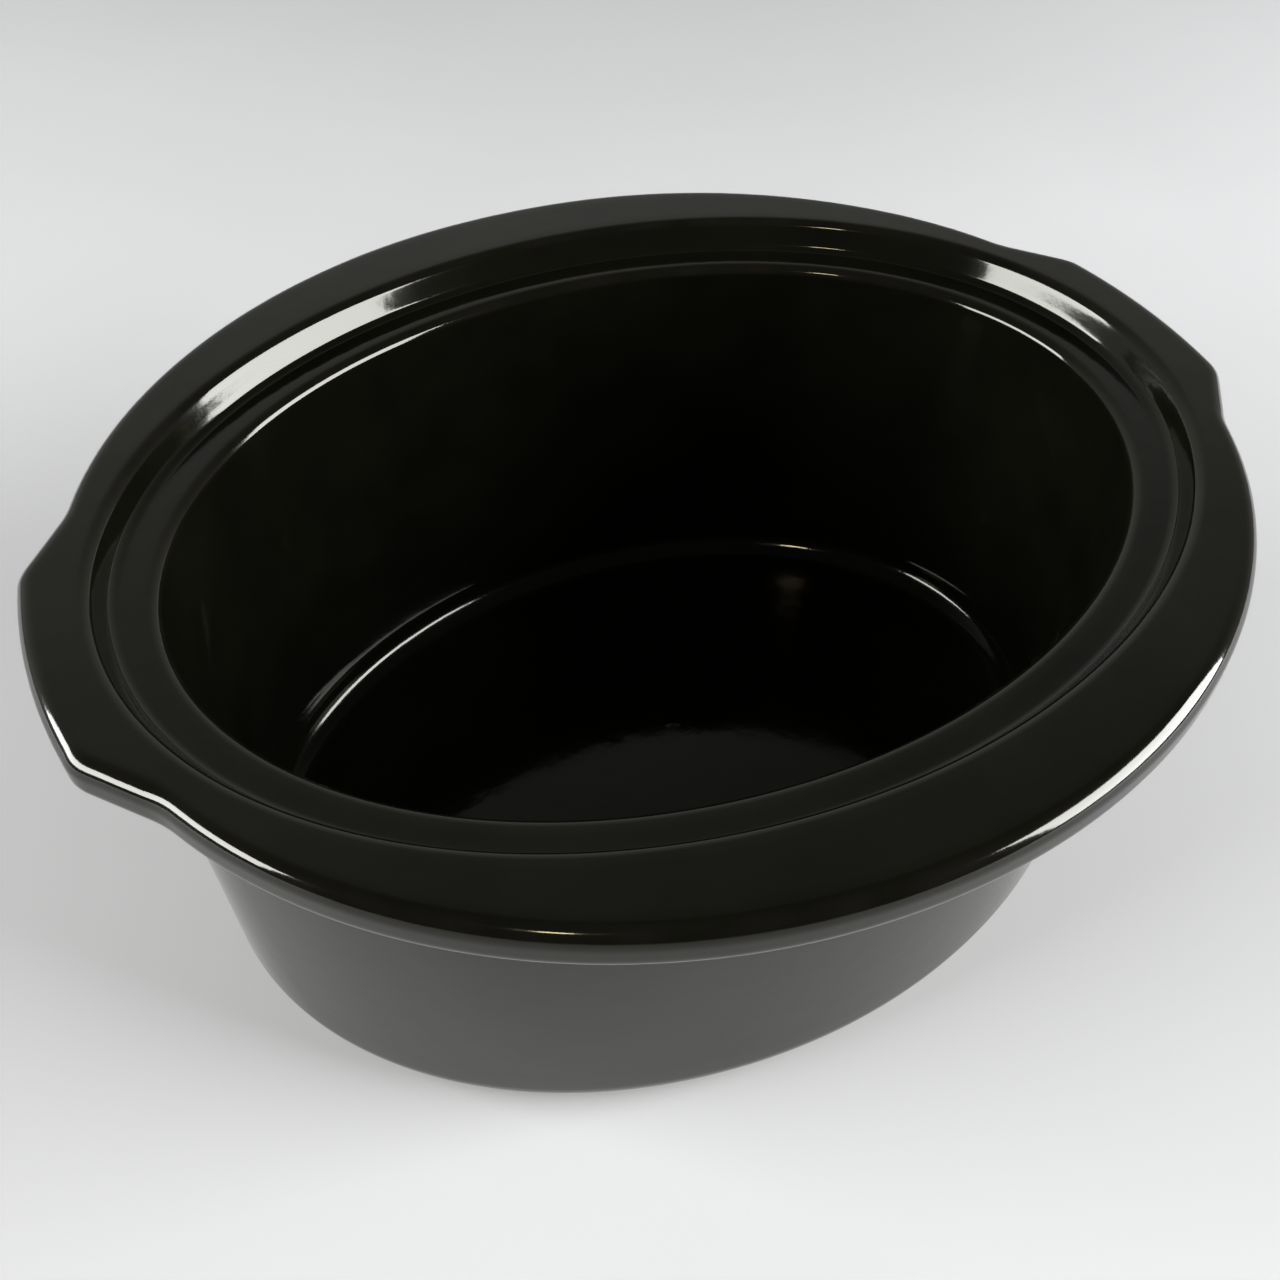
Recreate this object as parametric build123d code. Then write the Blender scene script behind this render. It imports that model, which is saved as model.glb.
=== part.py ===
"""Oval stoneware crock: the removable cooking vessel of a slow cooker.

One fired clay body with a wide flange, a step that seats the lid and two handle
lugs, and the glass glaze fused over all of it except the foot. Millimetres. The
origin is on the table under the middle of the vessel, +Z is up and +X runs along
the oval to a handle lug.
"""
from build123d import *
import math
import os

# --- cavity, measured on bare clay ---
cavity_length = 270.0          # along X, at the lid ledge
cavity_width = 206.0           # along Y, at the lid ledge
cavity_depth = 119.0           # lid ledge down to the floor
cavity_draft = 1.4             # degrees that the inner wall leans out
floor_radius = 10.0            # inside corner between wall and floor

# --- wall, floor and foot ---
wall_at_rim = 12.3             # under the flange
wall_at_floor = 9.4
floor_thickness = 8.5
foot_edge_radius = 14.0        # outside corner between wall and foot
foot_ring_width = 9.0          # flat ring that touches the table
foot_recess_depth = 1.5        # hollow inside that ring
bare_foot_height = 2.5         # the glaze stops this far above the table

# --- rim ---
ledge_width = 13.5             # flat that carries the lid
step_height = 8.6              # from the ledge up to the top of the flange
flange_width_side = 25.9       # beyond the step, across the oval
flange_width_end = 9.8         # beyond the step, along the oval
flange_thickness = 11.5
under_flange_radius = 5.0
flange_top_radius = 4.5
flange_bottom_radius = 3.8
lip_radius = 3.0               # top of the step
step_foot_radius = 2.5         # inside corner where the step meets the ledge
cavity_edge_radius = 3.0       # where the ledge turns down into the cavity

# --- handle lugs, one at each end of the flange ---
lug_reach = 7.5                # beyond the end of the flange
lug_tip_radius = 170.0         # the tip's own gentle curve
lug_tip_width = 66.0
lug_root_width = 104.0
lug_corner_radius = 12.0
notch_radius = 25.0            # hollow beside each lug

# --- glaze ---
glaze_thickness = 0.5

# --- places worked out from the sizes above ---
floor_z = floor_thickness
ledge_z = floor_z + cavity_depth
flange_top_z = ledge_z + step_height
flange_under_z = flange_top_z - flange_thickness
seat_length = cavity_length + 2 * ledge_width
seat_width = cavity_width + 2 * ledge_width
flange_length = seat_length + 2 * flange_width_end
flange_width = seat_width + 2 * flange_width_side
cavity_lean = math.tan(math.radians(cavity_draft))
wall_growth = (wall_at_rim - wall_at_floor) / (flange_under_z - floor_z)


def oval(z, length, width):
    """A flat oval face at height z."""
    return Pos(0, 0, z) * Ellipse(length / 2, width / 2)


def cavity_shrink(z):
    """How much narrower the cavity is at height z than at the ledge, each side."""
    return (ledge_z - z) * cavity_lean


def cavity_oval(z, skin):
    """The cavity's outline at height z, closed in by the skin."""
    inset = 2 * (cavity_shrink(z) + skin)
    return oval(z, cavity_length - inset, cavity_width - inset)


def outside_oval(z, skin):
    """The outer wall's outline at height z, grown by the skin."""
    wall = wall_at_floor + (z - floor_z) * wall_growth
    growth = 2 * (wall + skin - cavity_shrink(z))
    return oval(z, cavity_length + growth, cavity_width + growth)


def edges_at(solid, z):
    """The edges that lie in the level plane at height z."""
    level = solid.edges().filter_by(GeomType.LINE, reverse=True)
    flat = [e for e in level if e.bounding_box().size.Z < 0.01]
    return ShapeList(e for e in flat if abs(e.center().Z - z) < 0.01)


def wall_block(skin):
    """The solid outside of the vessel below the flange, with its rounded foot."""
    bottom = -skin
    block = loft([outside_oval(bottom, skin), outside_oval(flange_under_z + skin, skin)])
    return fillet(edges_at(block, bottom), foot_edge_radius + skin)


def lug_blank(skin):
    """One flat lug that reaches back inside the flange's oval."""
    root_y = lug_root_width / 2
    root_x = flange_length / 2 * math.sqrt(1 - (lug_root_width / flange_width) ** 2)
    tip_x = flange_length / 2 + lug_reach
    corner_y = lug_tip_width / 2
    corner_x = tip_x - lug_tip_radius + math.sqrt(lug_tip_radius ** 2 - corner_y ** 2)
    tip = ThreePointArc((corner_x, -corner_y), (tip_x, 0), (corner_x, corner_y))
    back = Polyline((corner_x, corner_y), (root_x, root_y), (0, 0), (root_x, -root_y),
                    (corner_x, -corner_y))
    blank = make_face([tip, back])
    return offset(blank, skin, kind=Kind.INTERSECTION) if skin else blank


def flange_block(skin):
    """The flange as a solid plate, with its two lugs and the notches beside them."""
    lug = lug_blank(skin)
    outline = oval(0, flange_length + 2 * skin, flange_width + 2 * skin) + lug + mirror(lug, Plane.YZ)
    plate = Pos(0, 0, flange_under_z - skin) * extrude(outline, flange_thickness + 2 * skin)
    corner_line = (lug_tip_width + lug_root_width) / 4
    upright = [e for e in plate.edges().filter_by(Axis.Z) if abs(e.center().Y) > lug_tip_width / 4]
    tips = [e for e in upright if abs(e.center().Y) < corner_line]
    notches = [e for e in upright if abs(e.center().Y) >= corner_line]
    plate = fillet(tips, lug_corner_radius + skin)
    notches = [e for e in plate.edges().filter_by(Axis.Z)
               if any((e.center() - n.center()).length < 0.1 for n in notches)]
    plate = fillet(notches, notch_radius - skin)
    plate = fillet(edges_at(plate, flange_top_z + skin), flange_top_radius + skin)
    return fillet(edges_at(plate, flange_under_z - skin), flange_bottom_radius + skin)


def vessel(skin):
    """The whole vessel, with every surface moved out by the skin."""
    ledge = ledge_z + skin
    top = flange_top_z + skin
    solid = wall_block(skin) + flange_block(skin)
    under = [e for e in edges_at(solid, flange_under_z - skin)
             if e.bounding_box().size.X < flange_length - flange_width_end]
    solid = fillet(under, under_flange_radius - skin)
    seat = loft([oval(ledge, seat_length - 2 * skin, seat_width - 2 * skin),
                 oval(top, seat_length - 2 * skin, seat_width - 2 * skin)])
    solid = solid - fillet(edges_at(seat, ledge), step_foot_radius - skin)
    solid = fillet(edges_at(solid, top), lip_radius + skin)
    floor = floor_z + skin
    cavity = loft([cavity_oval(floor, skin), cavity_oval(ledge, skin)])
    solid = solid - fillet(edges_at(cavity, floor), floor_radius - skin)
    mouth = [e for e in edges_at(solid, ledge)
             if e.bounding_box().size.X < cavity_length + ledge_width / 2]
    return fillet(mouth, cavity_edge_radius + skin)


def foot_recess():
    """The shallow hollow under the vessel that leaves the foot ring standing."""
    inset = 2 * (foot_edge_radius + foot_ring_width)
    foot = outside_oval(0, 0).bounding_box().size
    return extrude(oval(0, foot.X - inset, foot.Y - inset), foot_recess_depth, taper=30)


def stoneware_body():
    """The fired clay."""
    return vessel(0) - foot_recess()


def glaze_coat(clay):
    """The glass skin, everywhere on the clay but the foot."""
    below = Pos(0, 0, bare_foot_height - flange_width) * Box(
        2 * flange_length, 2 * flange_width, 2 * flange_width)
    return vessel(glaze_thickness) - clay - below


def main():
    os.makedirs("parts", exist_ok=True)
    clay = stoneware_body()
    glaze = glaze_coat(clay)
    for name, solid in (("stoneware_body", clay), ("glaze_coat", glaze)):
        solid.label = name
        export_step(solid, f"parts/{name}.step")
        print(name, round(solid.volume / 1000, 1), "cm3", solid.bounding_box().size)


main()
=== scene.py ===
# %% [markdown]
# # An oval stoneware crock with a black glaze
# This lesson builds the cooking vessel of a slow cooker around its imported CAD model. The real thing is
# one moulded piece of clay, dipped in glaze and fired, so there is very little to hide behind: the
# looks are all in the line of the rim, the way each edge is rounded, and what the glass reflects.
#
# The first cell loads the CAD frame and gives a helper that reads the box of any of its parts, so that the
# vessel's sizes can be taken from it.

# %% Load the CAD frame
import math

import bpy
import numpy as np
from mathutils import Matrix, Vector, noise


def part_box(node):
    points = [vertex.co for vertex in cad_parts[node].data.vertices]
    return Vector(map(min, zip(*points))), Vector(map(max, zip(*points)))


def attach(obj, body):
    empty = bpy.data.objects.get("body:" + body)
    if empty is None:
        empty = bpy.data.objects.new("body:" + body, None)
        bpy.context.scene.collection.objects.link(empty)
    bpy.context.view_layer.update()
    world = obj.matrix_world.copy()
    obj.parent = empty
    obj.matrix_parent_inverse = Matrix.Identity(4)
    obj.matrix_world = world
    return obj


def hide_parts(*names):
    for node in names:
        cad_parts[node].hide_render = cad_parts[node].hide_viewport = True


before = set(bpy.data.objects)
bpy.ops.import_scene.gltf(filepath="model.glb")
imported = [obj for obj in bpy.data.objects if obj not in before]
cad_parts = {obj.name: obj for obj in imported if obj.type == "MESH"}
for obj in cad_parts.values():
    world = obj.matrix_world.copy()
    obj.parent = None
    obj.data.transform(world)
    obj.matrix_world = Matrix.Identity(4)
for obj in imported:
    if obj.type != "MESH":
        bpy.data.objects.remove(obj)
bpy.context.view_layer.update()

scene = bpy.context.scene

# %% [markdown]
# ## The vessel's own sizes
# The tallest, widest and longest points come from the frame, so the model follows the CAD when that
# changes. The sizes that a box can't tell, such as the width of the ledge and each edge's radius, are
# named here once, in metres. They are the clay's sizes: the glaze stands half a millimetre proud of
# them.

# %% Name the sizes
clay_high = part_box("stoneware_body")[1]
glaze_low, glaze_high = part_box("glaze_coat")
glaze_thickness = glaze_high[2] - clay_high[2]
rim_top = clay_high[2]
lug_tip = clay_high[0]
flange_half_width = clay_high[1]
foot_bare_height = glaze_low[2]

lug_reach = 0.0075                     # beyond the end of the flange
flange_half_length = lug_tip - lug_reach
flange_thickness = 0.0115
flange_under = rim_top - flange_thickness
step_height = 0.0086
ledge_height = rim_top - step_height
floor_height = 0.0085
step_slope = 0.0018                    # the step leans out by this much, above and below its middle
flange_width_end, flange_width_side = 0.0098, 0.0259
ledge_width = 0.0135
seat_half = np.array((flange_half_length - flange_width_end, flange_half_width - flange_width_side))
mouth_half = seat_half - ledge_width
cavity_lean = math.tan(math.radians(1.4))
wall_at_floor = 0.0094
wall_at_rim = 0.0123
foot_ring_width = 0.009
foot_recess_depth = 0.0015
foot_edge_radius = 0.014
under_flange_radius = 0.0050
flange_bottom_radius = 0.0038
flange_top_radius = 0.0045
lip_radius = 0.0032                    # top of the step
step_foot_radius = 0.0034              # where the step meets the ledge
cavity_edge_radius = 0.0030            # where the ledge turns down into the cavity
floor_radius = 0.0100
print("glaze", round(glaze_thickness * 1000, 2), "mm, rim top at", round(rim_top * 1000, 1), "mm")

# %% [markdown]
# ## Ovals and the lugged outline
# Every level of the vessel is an ellipse, except the edge of the flange, where a lug stands out at
# each end with a soft notch on either side. That outline could be drawn by hand as a Bezier curve.
# Here it is a formula instead: the distance from the centre is the larger of the oval's and the lug's,
# and a smooth maximum rolls one into the other the way a thumb smooths clay. The lug itself is the
# smaller of its curved end and its two sloping sides, with a smooth minimum for the corners.

# %% Outlines by formula
lug_tip_half_width = 0.0330
lug_root_half_width = 0.0520
lug_tip_radius = 0.170                              # the tip's own gentle curve
lug_corner_blend = 0.0016
notch_blend = 0.0010
around = 600                                        # points round each oval
middle = (0.002, 0.0015)                            # the small oval that ends a floor, before its last point
turn = np.linspace(0.0, 2 * math.pi, around, endpoint=False)
turn -= 0.2 * np.sin(2 * turn)                      # the points stand closer together at the lugs


def smooth_min(a, b, blend):
    """The smaller of a and b, rolled over where they are within the blend of each other."""
    share = np.clip(0.5 + 0.5 * (b - a) / blend, 0.0, 1.0)
    return b * (1 - share) + a * share - blend * share * (1 - share)


def smooth_max(a, b, blend):
    return -smooth_min(-a, -b, blend)


def oval(half, height):
    """One closed ring of points, as an array of around rows."""
    return np.stack([half[0] * np.cos(turn), half[1] * np.sin(turn), np.full(around, height)], axis=1)


def flange_outline(grow, height):
    """The flange's edge with its lugs and notches, grown outwards."""
    ring = oval((flange_half_length + grow, flange_half_width + grow), height)
    reach = np.hypot(ring[:, 0], ring[:, 1])
    along, across = np.abs(ring[:, 0]) / reach, np.abs(ring[:, 1]) / reach
    tip_middle = lug_tip - lug_tip_radius
    corner_x = tip_middle + math.sqrt(lug_tip_radius ** 2 - lug_tip_half_width ** 2)
    root_x = flange_half_length * math.sqrt(1 - (lug_root_half_width / flange_half_width) ** 2)
    side = Vector((corner_x - root_x, lug_tip_half_width - lug_root_half_width)).normalized()
    facing = (-side[1], side[0])
    side_distance = facing[0] * corner_x + facing[1] * lug_tip_half_width + grow
    lug_end = tip_middle * along + np.sqrt((lug_tip_radius + grow) ** 2 - (tip_middle * across) ** 2)
    lug_side = side_distance / (facing[0] * along + facing[1] * across)
    lug = np.where(along > across, smooth_min(lug_end, lug_side, lug_corner_blend), 0.0)
    scale = smooth_max(reach, lug, notch_blend) / reach
    ring[:, 0] *= scale
    ring[:, 1] *= scale
    return ring


edge = flange_outline(0.0, 0.0)
print("flange", [round(1000 * float(np.ptp(edge[:, axis])), 1) for axis in (0, 1)], "mm")

# %% [markdown]
# ## From corners to a rounded skin
# A potter thinks of this shape as a line that is swept round: up the wall, out under the flange, over
# the rim, down the step, along the ledge and into the pot. So each corner of that line is given as a
# ring with a radius, and one function replaces the corner by a true arc. It works on the whole ring at
# once, so the radius holds all the way round, lugs included. Bevel and Subdivision Surface modifiers
# could round the edges too, but their roundings change with the length of the neighbouring faces, and
# in a gloss black glaze the eye reads the width of every highlight.
#
# Each ring also remembers how sharply it bends. The glaze material uses that later: glass runs thin
# over a convex edge and pools in a hollow.

# %% Round the corners of a swept line
def unit(rows):
    return rows / np.linalg.norm(rows, axis=1, keepdims=True)


def arc_at(before, at, after, radius, shares):
    """The rings of an arc that replaces the corner at, at the given shares of its sweep (one row each)."""
    to_before, to_after = unit(before - at), unit(after - at)
    half = np.arccos(np.clip(np.sum(to_before * to_after, axis=1), -1, 1))[:, None] / 2
    centre = at + unit(to_before + to_after) * radius / np.sin(half)
    start = at + to_before * radius / np.tan(half) - centre
    end = at + to_after * radius / np.tan(half) - centre
    sweep = math.pi - 2 * half
    rings = []
    for share in shares:
        share = np.broadcast_to(share, (len(at),))[:, None]
        rings.append(centre + (np.sin((1 - share) * sweep) * start + np.sin(share * sweep) * end)
                     / np.sin(sweep))
    return rings


def swept_rings(corners, fine=1.0):
    """Rings and their bend, from corners given as (ring, radius, steps, spans, bend).

    spans is how many rings fill the straight run up to the next corner; bend is +1 on a
    convex edge and -1 in a hollow.
    """
    rings, bends = [], []
    for index, (at, radius, steps, spans, bend) in enumerate(corners):
        if index in (0, len(corners) - 1):
            rounded = [at]
        else:
            shares = np.linspace(0, 1, max(2, round(steps * fine)) + 1)
            rounded = arc_at(corners[index - 1][0], at, corners[index + 1][0], radius, shares)
        if rings:
            spans_before = max(1, round(corners[index - 1][3] * fine))
            for step in range(1, spans_before):
                rings.append(rings_start + (rounded[0] - rings_start) * step / spans_before)
                bends.append(0.0)
        rings.extend(rounded)
        bends.extend(bend * math.sin(math.pi * (k + 0.5) / len(rounded)) for k in range(len(rounded)))
        rings_start = rings[-1]
    return rings, bends


# %% [markdown]
# ## The line of the crock
# Here are the corners themselves, from the foot to the middle of the cavity floor. The same list makes
# the clay and the glaze: the skin argument moves every face outwards, and with it the radii, which
# grow on convex edges and shrink in hollows, as they do on a real coat of glaze.

# %% List the corners
def cavity_half(height, skin):
    return mouth_half - (ledge_height - height) * cavity_lean - skin


def outside_half(height, skin):
    growth = (wall_at_rim - wall_at_floor) / (flange_under - floor_height)
    return cavity_half(height, 0.0) + wall_at_floor + (height - floor_height) * growth + skin


def vessel_corners(skin):
    """From the flat of the foot, up the outside and down the inside to the middle of the floor."""
    seat = seat_half - skin
    top, under = rim_top + skin, flange_under - skin
    ledge, floor = ledge_height + skin, floor_height + skin
    return [
        (oval(outside_half(-skin, skin) - 2 * foot_edge_radius, -skin), 0, 0, 2, 0),
        (oval(outside_half(-skin, skin), -skin), foot_edge_radius + skin, 14, 14, 0),
        (oval(outside_half(under, skin), under), under_flange_radius - skin, 6, 4, -1),
        (flange_outline(skin, under), flange_bottom_radius + skin, 9, 4, 0.5),
        (flange_outline(skin, top), flange_top_radius + skin, 12, 6, 1),
        (oval(seat + step_slope, top), lip_radius + skin, 10, 4, 1),
        (oval(seat - step_slope, ledge), step_foot_radius - skin, 10, 3, -1),
        (oval(cavity_half(ledge, skin), ledge), cavity_edge_radius + skin, 10, 14, 1),
        (oval(cavity_half(floor, skin), floor), floor_radius - skin, 12, 14, -0.6),
        (oval(middle, floor), 0, 0, 0, 0),
    ]


rings, bends = swept_rings(vessel_corners(0.0))
print(len(rings), "rings of", around, "points")

# %% [markdown]
# ## Fired clay is never quite true
# Clay shrinks by about a tenth in the kiln and it doesn't shrink evenly, so a fired rim is a hair out
# of round and a long wall has slow swells. They are far too small to see as shape, but they bend every
# reflection, and without them the pot looks like lacquered plastic. Noise in the mesh is used here
# rather than bump, because slow swells are real shape. The swell only ever moves a point inwards, so
# the pot can't outgrow its CAD box.

# %% Warp the rings as the kiln does
warp_depth = 0.00035
warp_scale = 16.0          # swells per metre, about 60 mm apart


def kiln_warp(points):
    """How far each point sinks, from nothing to the warp depth."""
    swell = np.array([noise.noise(Vector(p) * warp_scale + Vector((3.1, 7.7, 1.3))) for p in points])
    return warp_depth * np.clip(0.5 + 0.5 * swell, 0, 1)


def grid_normals(rings):
    """A normal for every point of a stack of closed rings, which runs up the outside and down the inside."""
    grid = np.array(rings)
    along = np.gradient(grid, axis=0)
    round_about = np.roll(grid, -1, axis=1) - np.roll(grid, 1, axis=1)
    normal = np.cross(round_about, along)
    return normal / np.maximum(np.linalg.norm(normal, axis=2, keepdims=True), 1e-12)


def warped(rings):
    """The rings, sunk along their normals by the kiln's warp."""
    grid, normals = np.array(rings), grid_normals(rings)
    depth = kiln_warp(grid.reshape(-1, 3)).reshape(grid.shape[:2])
    return list(grid - normals * depth[:, :, None])


print("warp up to", warp_depth * 1000, "mm")

# %% [markdown]
# ## Rings into a mesh
# Neighbouring rings are joined by quads, and a last point closes each end of the line. The faces are
# smooth shaded, and the bend of each ring is stored as an attribute on its points, where a material
# can read it.

# %% Join the rings
def mesh_from_rings(name, rings, bends, loop=False):
    """A closed mesh from a stack of rings: capped by a point at each end, or joined end to end as a loop.

    For a closed loop, loop is the number of the first ring of its second side. The sides don't join there,
    across the middle of the floor: each is capped by a point of its own.
    """
    points, values, faces = [], [], []
    starts = []
    for ring, bend in zip(rings, bends):
        starts.append(len(values))
        points.append(ring)
        values.extend([bend] * around)
    points = np.concatenate(points)
    here = np.arange(around)
    ahead = np.roll(here, -1)
    stack = list(zip(starts[:-1], starts[1:]))
    if loop:
        stack = [pair for pair in stack if pair[0] != starts[loop - 1]] + [(starts[-1], starts[0])]
    for low, high in stack:
        faces.append(np.stack([low + here, low + ahead, high + ahead, high + here], axis=1))
    faces = np.concatenate(faces).tolist()
    ends = [(starts[loop - 1], False), (starts[loop], True)] if loop else [(0, True), (starts[-1], False)]
    points = points.tolist()
    for start, first in ends:
        tip = len(points)
        points.append(np.mean(np.array(points[start:start + around]), axis=0).tolist())
        values.append(0.0)
        for k in range(around):
            a, b = start + k, start + (k + 1) % around
            faces.append([b, a, tip] if first else [a, b, tip])
    mesh = bpy.data.meshes.new(name)
    mesh.from_pydata(points, [], faces)
    bend_layer = mesh.attributes.new("bend", "FLOAT", "POINT")
    bend_layer.data.foreach_set("value", np.array(values, dtype=np.float32))
    mesh.polygons.foreach_set("use_smooth", [True] * len(mesh.polygons))
    mesh.validate()
    piece = bpy.data.objects.new(name, mesh)
    bpy.context.collection.objects.link(piece)
    print(name, len(mesh.vertices), "points", len(mesh.polygons), "faces")
    return piece


# %% [markdown]
# ## The clay body
# The clay is a closed solid of its own, because the foot shows it: a flat ring wiped clean of glaze,
# so that the pot doesn't fuse to the kiln shelf, with a shallow hollow inside it. The line starts at
# the middle of the underside.

# %% Build the clay body
def underside_corners():
    foot = outside_half(0.0, 0.0) - foot_edge_radius - foot_ring_width
    slope = foot_recess_depth * math.tan(math.radians(30))
    return [
        (oval(middle, foot_recess_depth), 0, 0, 24, 0),
        (oval(foot - slope, foot_recess_depth), 0.0012, 4, 1, 0),
        (oval(foot, 0.0), 0.0008, 4, 4, 0),
    ]


clay_rings, clay_bends = swept_rings(underside_corners() + vessel_corners(0.0)[1:], 0.7)
clay_body = mesh_from_rings("clay_body", warped(clay_rings), clay_bends)
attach(clay_body, "root")
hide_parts("stoneware_body")

# %% [markdown]
# ## The glaze
# The glaze is a shell half a millimetre thick. Its lower edge is where a wet sponge wiped it off the
# foot, so it isn't a ruled line: it wanders by a few tenths of a millimetre, and the melted glass
# draws itself up into a rounded bead there. The shell is closed, with a back that lies just on the
# clay.

# %% Build the glaze
wipe_wander = 0.0005
bead_width = 0.0012


def wipe_line():
    """The height of the glaze's lower edge, all round the foot."""
    wander = [noise.noise(Vector((9 * math.cos(t), 9 * math.sin(t), 5.0))) for t in turn]
    fine = [noise.noise(Vector((60 * math.cos(t), 60 * math.sin(t), 2.0))) for t in turn]
    return foot_bare_height + wipe_wander * (1 + 0.8 * np.array(wander) + 0.25 * np.array(fine))


def foot_arc(corners, skin, steps):
    """The part of the foot's rounding that the glaze covers, from the wipe line up to the wall."""
    radius = foot_edge_radius + skin
    full = np.arccos((foot_edge_radius - wipe_line()) / radius) / (math.pi / 2)
    shares = [full + (1 - full) * (k / steps) ** 1.6 for k in range(steps + 1)]
    return arc_at(corners[0][0], corners[1][0], corners[2][0], radius, shares)


def glaze_side(skin, steps, fine):
    """One side of the shell, from the wipe line to the middle of the floor."""
    corners = vessel_corners(skin)
    arc = foot_arc(corners, skin, steps)
    rest, rest_bends = swept_rings([(arc[-1],) + corners[1][1:]] + corners[2:], fine)
    return arc[:-1] + rest, [0.0] * (len(arc) - 1) + rest_bends


outer, outer_bends = glaze_side(glaze_thickness, 26, 1.0)
inner, inner_bends = glaze_side(0.00002, 8, 0.45)
outer, inner = warped(outer), warped(inner)
normals = grid_normals(outer)
edge_run = np.cumsum([0.0] + [float(np.linalg.norm(outer[k + 1][0] - outer[k][0])) for k in range(40)])
for k, run in enumerate(edge_run):
    if run < bead_width:
        thin = 1 - math.sqrt(1 - (1 - run / bead_width) ** 2)
        outer[k] = outer[k] - normals[k] * glaze_thickness * 0.85 * thin
glaze_skin = mesh_from_rings("glaze_skin", outer + inner[::-1], outer_bends + inner_bends[::-1],
                             loop=len(outer))
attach(glaze_skin, "root")
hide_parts("glaze_coat")

# %% [markdown]
# ## Black glaze
# A black stoneware glaze is coloured glass over dark clay: almost no diffuse colour, a sharp clear
# reflection, and a faint orange peel from bubbles that healed as it cooled. It is a shade paler where
# it ran thin over an edge. The black is the base colour, the edge comes from the bend attribute, and
# two sizes of noise give the peel. The roughness has its own slow noise, since no kiln melts a glaze
# evenly. A specular tint a little short of blue gives the reflections their olive cast, and a bump no
# wider than a grain of rice is the pip where a crumb of grit lies under the glass on the cavity floor.

# %% Glaze material helpers
def new_material(name):
    material = bpy.data.materials.new(name)
    material.use_nodes = True
    return material, material.node_tree, material.node_tree.nodes["Principled BSDF"]


def add_node(tree, kind, inputs=None, **settings):
    """A shader node with its settings, and its inputs as values or as other nodes' sockets."""
    node = tree.nodes.new(kind)
    for key, value in settings.items():
        setattr(node, key, value)
    for key, value in (inputs or {}).items():
        if isinstance(value, bpy.types.NodeSocket):
            tree.links.new(value, node.inputs[key])
        else:
            node.inputs[key].default_value = value
    return node


def noise_at(tree, scale, detail=2.0, roughness=0.5):
    """Noise in metres, so a scale of 500 has features about 2 mm across."""
    place = add_node(tree, "ShaderNodeTexCoord").outputs["Object"]
    return add_node(tree, "ShaderNodeTexNoise", {
        "Vector": place, "Scale": scale, "Detail": detail, "Roughness": roughness}).outputs["Fac"]


def remap(tree, value, low, high, to_low, to_high):
    return add_node(tree, "ShaderNodeMapRange", {
        "Value": value, "From Min": low, "From Max": high,
        "To Min": to_low, "To Max": to_high}).outputs["Result"]


def mix_colours(tree, share, first, second):
    node = add_node(tree, "ShaderNodeMix", data_type="RGBA")
    for socket, value in ((node.inputs[0], share), (node.inputs[6], first), (node.inputs[7], second)):
        if isinstance(value, bpy.types.NodeSocket):
            tree.links.new(value, socket)
        else:
            socket.default_value = value
    return node.outputs[2]


def multiply(tree, first, second):
    return add_node(tree, "ShaderNodeMath", {0: first, 1: second}, operation="MULTIPLY").outputs[0]


# %% Black glaze
def black_glaze():
    material, tree, shader = new_material("black_glaze")
    bend = add_node(tree, "ShaderNodeAttribute", attribute_name="bend").outputs["Fac"]
    ran_thin = remap(tree, bend, 0.35, 1.0, 0.0, 1.0)
    patchy = remap(tree, noise_at(tree, 90.0, 3.0), 0.35, 0.65, 0.2, 1.0)
    body = mix_colours(tree, remap(tree, noise_at(tree, 35.0), 0.3, 0.7, 0.0, 1.0),
                       (0.0022, 0.0022, 0.0014, 1), (0.0036, 0.0036, 0.0022, 1))
    colour = mix_colours(tree, multiply(tree, ran_thin, patchy), body, (0.0050, 0.0044, 0.0032, 1))
    tree.links.new(colour, shader.inputs["Base Color"])
    tree.links.new(remap(tree, noise_at(tree, 25.0, 2.0), 0.3, 0.7, 0.06, 0.11), shader.inputs["Roughness"])
    shader.inputs["IOR"].default_value = 1.42
    shader.inputs["Specular Tint"].default_value = (1.0, 1.0, 0.90, 1)
    fine_peel = add_node(tree, "ShaderNodeBump", {
        "Height": noise_at(tree, 420.0, 2.0), "Strength": 0.10, "Distance": 0.00012})
    slow_peel = add_node(tree, "ShaderNodeBump", {
        "Height": noise_at(tree, 110.0, 1.0), "Strength": 0.25, "Distance": 0.00020,
        "Normal": fine_peel.outputs["Normal"]})
    place = add_node(tree, "ShaderNodeTexCoord").outputs["Object"]
    from_grit = add_node(tree, "ShaderNodeVectorMath", {0: place, 1: (0.011, 0.013, floor_height)},
                         operation="DISTANCE")
    pip = add_node(tree, "ShaderNodeBump", {
        "Height": remap(tree, from_grit.outputs["Value"], 0.0, 0.0028, 1.0, 0.0), "Strength": 0.8,
        "Distance": 0.0006, "Normal": slow_peel.outputs["Normal"]})
    tree.links.new(pip.outputs["Normal"], shader.inputs["Normal"])
    return material


glaze_skin.data.materials.append(black_glaze())

# %% [markdown]
# ## Bare stoneware
# Unglazed stoneware is matt and slightly toothy, buff with dark iron specks, and toasted a warmer
# brown close to the glaze, where the kiln's flame reached past it. Voronoi cells make the specks, and
# a fine noise the tooth.

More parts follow.
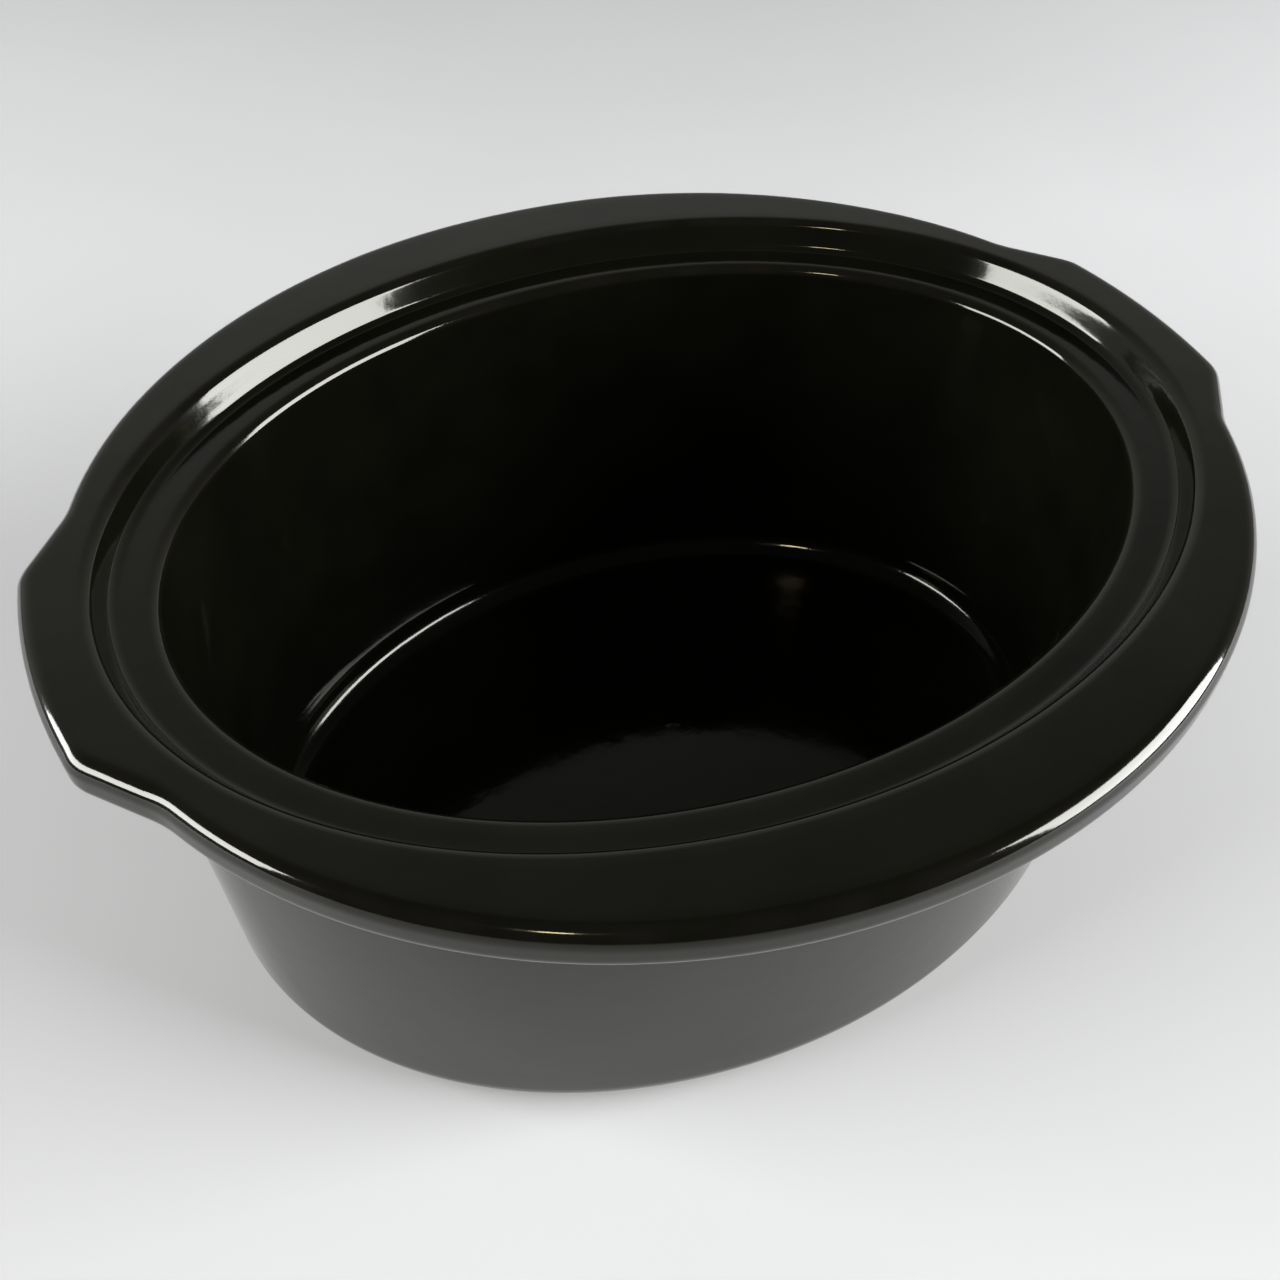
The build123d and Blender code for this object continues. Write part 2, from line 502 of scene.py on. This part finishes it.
# %% Bare stoneware
def bare_stoneware():
    material, tree, shader = new_material("bare_stoneware")
    place = add_node(tree, "ShaderNodeTexCoord").outputs["Object"]
    buff = mix_colours(tree, remap(tree, noise_at(tree, 45.0, 4.0, 0.6), 0.3, 0.7, 0.0, 1.0),
                       (0.42, 0.33, 0.23, 1), (0.56, 0.46, 0.34, 1))
    height = add_node(tree, "ShaderNodeSeparateXYZ", {"Vector": place}).outputs["Z"]
    toasted = remap(tree, height, 0.0006, foot_bare_height + 0.001, 0.0, 0.8)
    buff = mix_colours(tree, toasted, buff, (0.24, 0.13, 0.065, 1))
    cells = add_node(tree, "ShaderNodeTexVoronoi", {"Vector": place, "Scale": 420.0, "Randomness": 1.0})
    rare = remap(tree, noise_at(tree, 260.0, 1.0), 0.52, 0.60, 0.0, 1.0)
    speck = multiply(tree, remap(tree, cells.outputs["Distance"], 0.10, 0.20, 1.0, 0.0), rare)
    tree.links.new(mix_colours(tree, speck, buff, (0.07, 0.045, 0.03, 1)), shader.inputs["Base Color"])
    tree.links.new(remap(tree, noise_at(tree, 120.0, 3.0), 0.3, 0.7, 0.72, 0.92), shader.inputs["Roughness"])
    tooth = add_node(tree, "ShaderNodeBump", {
        "Height": noise_at(tree, 1500.0, 4.0, 0.65), "Strength": 0.5, "Distance": 0.00025})
    tree.links.new(tooth.outputs["Normal"], shader.inputs["Normal"])
    return material


clay_body.data.materials.append(bare_stoneware())

# %% [markdown]
# ## The table and the light
# A gloss black object is lit by what stands around it. A pale table gives the wall its soft grey, two
# wide softboxes, one at each side, draw the long white lines along the rim, and a small warm lamp near
# the camera adds the short yellow ones. A softbox is an area light: its shape is what shows in the
# glaze, so its size and height set how long and how broad each line is.
#
# The world isn't one even grey. It is brightest low down behind the pot and dark overhead and behind
# the camera, so the flat rim is paler at the back than at the front. A dot product with one direction
# makes that gradient.

# %% Table
def pale_table():
    material, tree, shader = new_material("pale_table")
    grain = remap(tree, noise_at(tree, 3.0, 4.0), 0.3, 0.7, 0.0, 1.0)
    tree.links.new(mix_colours(tree, grain, (0.48, 0.479, 0.473, 1), (0.51, 0.509, 0.502, 1)),
                   shader.inputs["Base Color"])
    shader.inputs["Roughness"].default_value = 0.9
    return material


table_mesh = bpy.data.meshes.new("table")
table_reach = 6.0
table_corners = [(x * table_reach, y * table_reach, 0) for x, y in ((-1, -1), (1, -1), (1, 1), (-1, 1))]
table_mesh.from_pydata(table_corners, [], [(0, 1, 2, 3)])
table = bpy.data.objects.new("table", table_mesh)
bpy.context.collection.objects.link(table)
table.data.materials.append(pale_table())

# %% Lights
def softbox(name, azimuth, elevation, distance, size, power, colour=(1, 1, 1)):
    """An area light that faces the pot. Azimuth is in degrees from +X towards +Y."""
    a, e = math.radians(azimuth), math.radians(elevation)
    towards = Vector((math.cos(a) * math.cos(e), math.sin(a) * math.cos(e), math.sin(e)))
    light = bpy.data.lights.new(name, "AREA")
    light.shape, light.size, light.size_y = "RECTANGLE", *size
    light.energy, light.color = power, colour
    lamp = bpy.data.objects.new(name, light)
    lamp.location = Vector((0, 0, ledge_height)) + towards * distance
    lamp.rotation_euler = towards.to_track_quat("Z", "Y").to_euler()
    bpy.context.collection.objects.link(lamp)
    return lamp


softbox("right_softbox", azimuth=-35, elevation=18, distance=1.6, size=(1.10, 0.90), power=70,
        colour=(0.96, 0.97, 1))
softbox("left_softbox", azimuth=165, elevation=19, distance=1.6, size=(1.35, 0.55), power=52,
        colour=(0.96, 0.97, 1))
softbox("warm_lamp", azimuth=-128, elevation=44, distance=1.4, size=(0.12, 0.08), power=1.4,
        colour=(1, 0.86, 0.55))

world = bpy.data.worlds.new("studio")
scene.world = world
world.use_nodes = True
studio = world.node_tree
brightest_way = (0.10, 0.87, -0.62)        # behind the pot and below the horizon
towards = add_node(studio, "ShaderNodeTexCoord").outputs["Generated"]
away = add_node(studio, "ShaderNodeVectorMath", {0: towards, 1: brightest_way}, operation="DOT_PRODUCT")
glow = add_node(studio, "ShaderNodeMapRange", {
    "Value": away.outputs["Value"], "From Min": -0.45, "From Max": 0.60, "To Min": 0.04, "To Max": 0.46},
    interpolation_type="SMOOTHSTEP").outputs["Result"]
studio.links.new(mix_colours(studio, glow, (0, 0, 0, 1), (1.0, 1.0, 0.98, 1)),
                 studio.nodes["Background"].inputs["Color"])
scene.view_settings.view_transform = "Standard"

# %% [markdown]
# ## The camera
# The camera stands close and above, at the left-hand end of the long side, so the near flange looks
# far wider than the far one. It is placed by its direction from the pot, its distance, and the point
# it looks at.

# %% Camera
camera_azimuth = -26.54
camera_elevation = 46.36
camera_distance = 0.372
camera_aim_right = -0.0071
camera_aim_up = -0.0416
camera_lens = 38.67

a, e = math.radians(camera_azimuth), math.radians(camera_elevation)
backwards = Vector((math.sin(a) * math.cos(e), -math.cos(a) * math.cos(e), math.sin(e)))
rightwards = Vector((math.cos(a), math.sin(a), 0))
upwards = backwards.cross(rightwards)
camera_data = bpy.data.cameras.new("camera")
camera_data.lens, camera_data.sensor_width, camera_data.clip_start = camera_lens, 36, 0.01
camera = bpy.data.objects.new("camera", camera_data)
aim = Vector((0, 0, ledge_height)) + rightwards * camera_aim_right + upwards * camera_aim_up
camera.matrix_world = Matrix.Translation(aim + backwards * camera_distance) @ Matrix(
    (rightwards, upwards, backwards)).transposed().to_4x4()
bpy.context.collection.objects.link(camera)
scene.camera = camera
